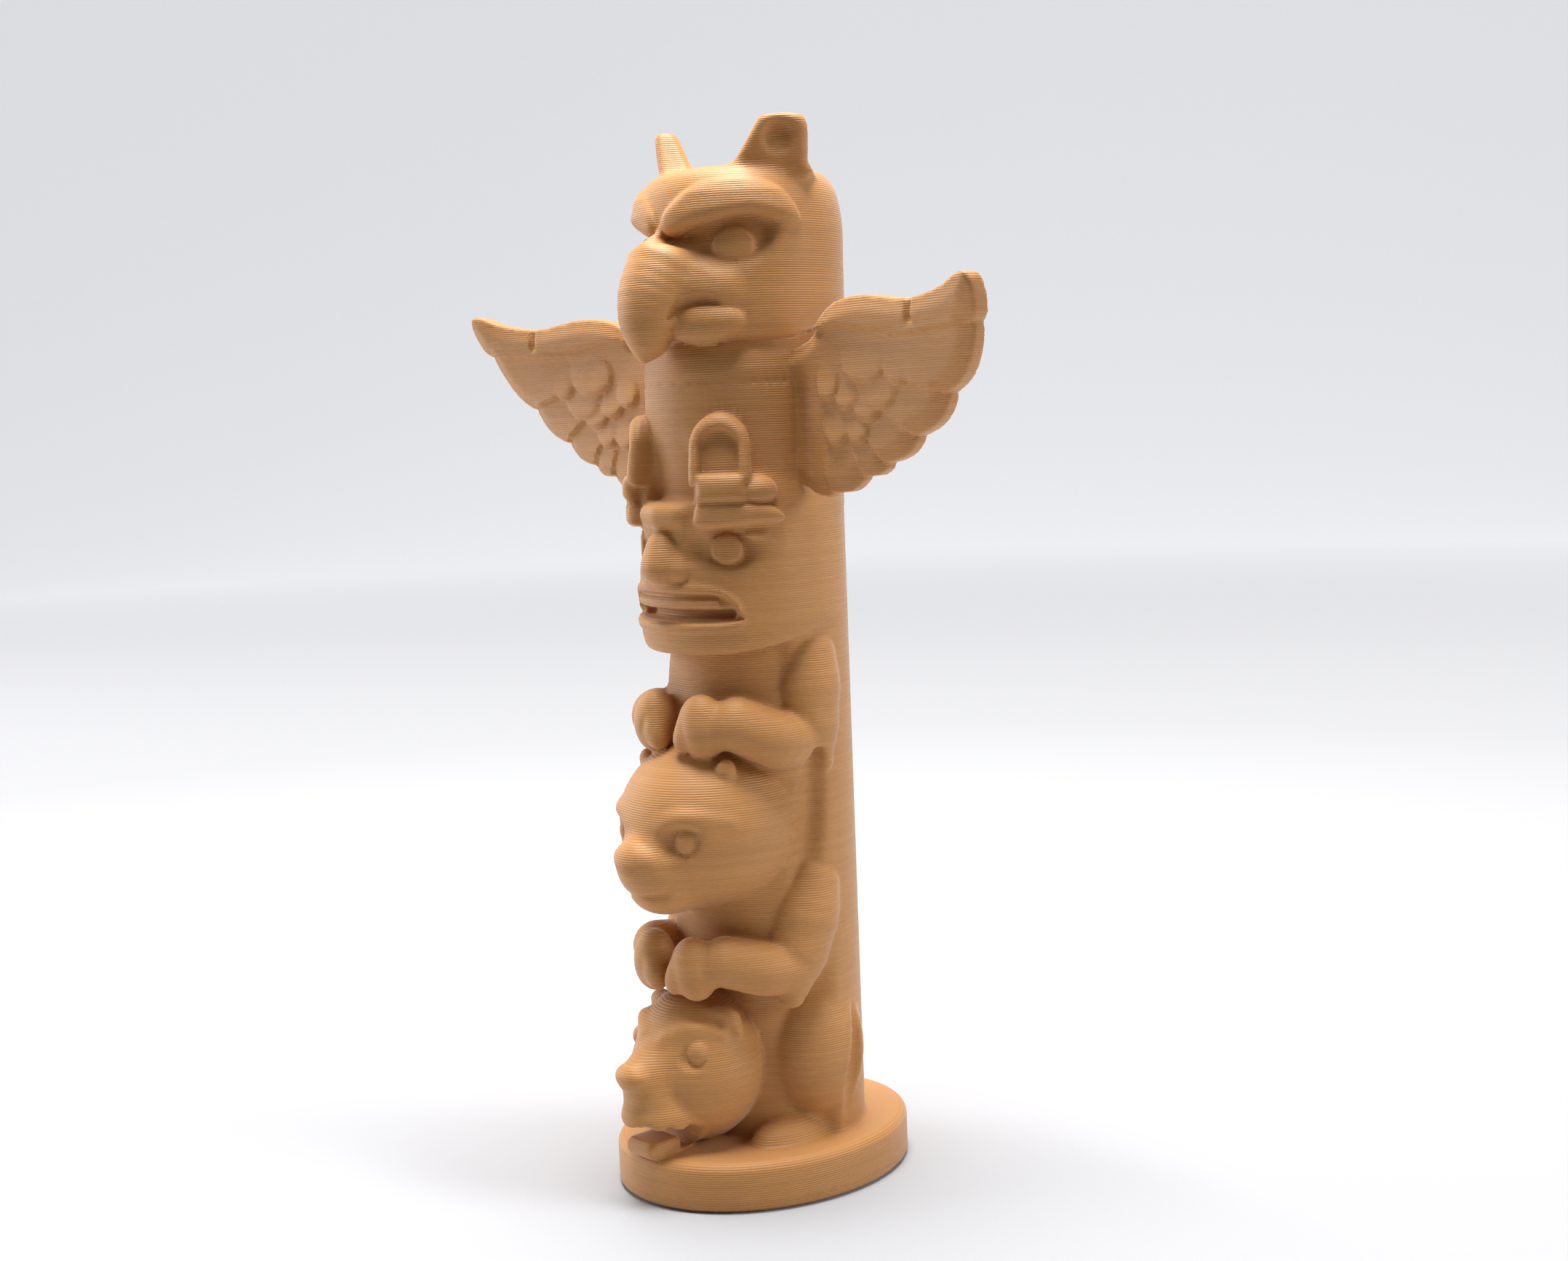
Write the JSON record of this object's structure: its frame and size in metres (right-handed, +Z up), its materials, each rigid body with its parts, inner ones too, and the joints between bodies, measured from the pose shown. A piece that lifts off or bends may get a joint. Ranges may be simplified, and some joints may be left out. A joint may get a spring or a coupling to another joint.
{
  "type": "totem pole figurine",
  "caption": "Small souvenir totem pole: an eagle with spread wings above a face in a headdress, a bear and a small head, on an oval base.",
  "frame": {"origin": "centre of the round pole, on the flat underside of the oval base", "axes": "+Z up along the pole, -Y out of the figures' faces, +X along the wing on the viewer's right"},
  "size_m": [0.0682, 0.0319, 0.0969],
  "materials": {
    "tan_plastic": "matt 3-D printed plastic with fine level layer lines"
  },
  "bodies": {
    "root": {"totem_pole": "tan_plastic"}
  },
  "joints": []
}
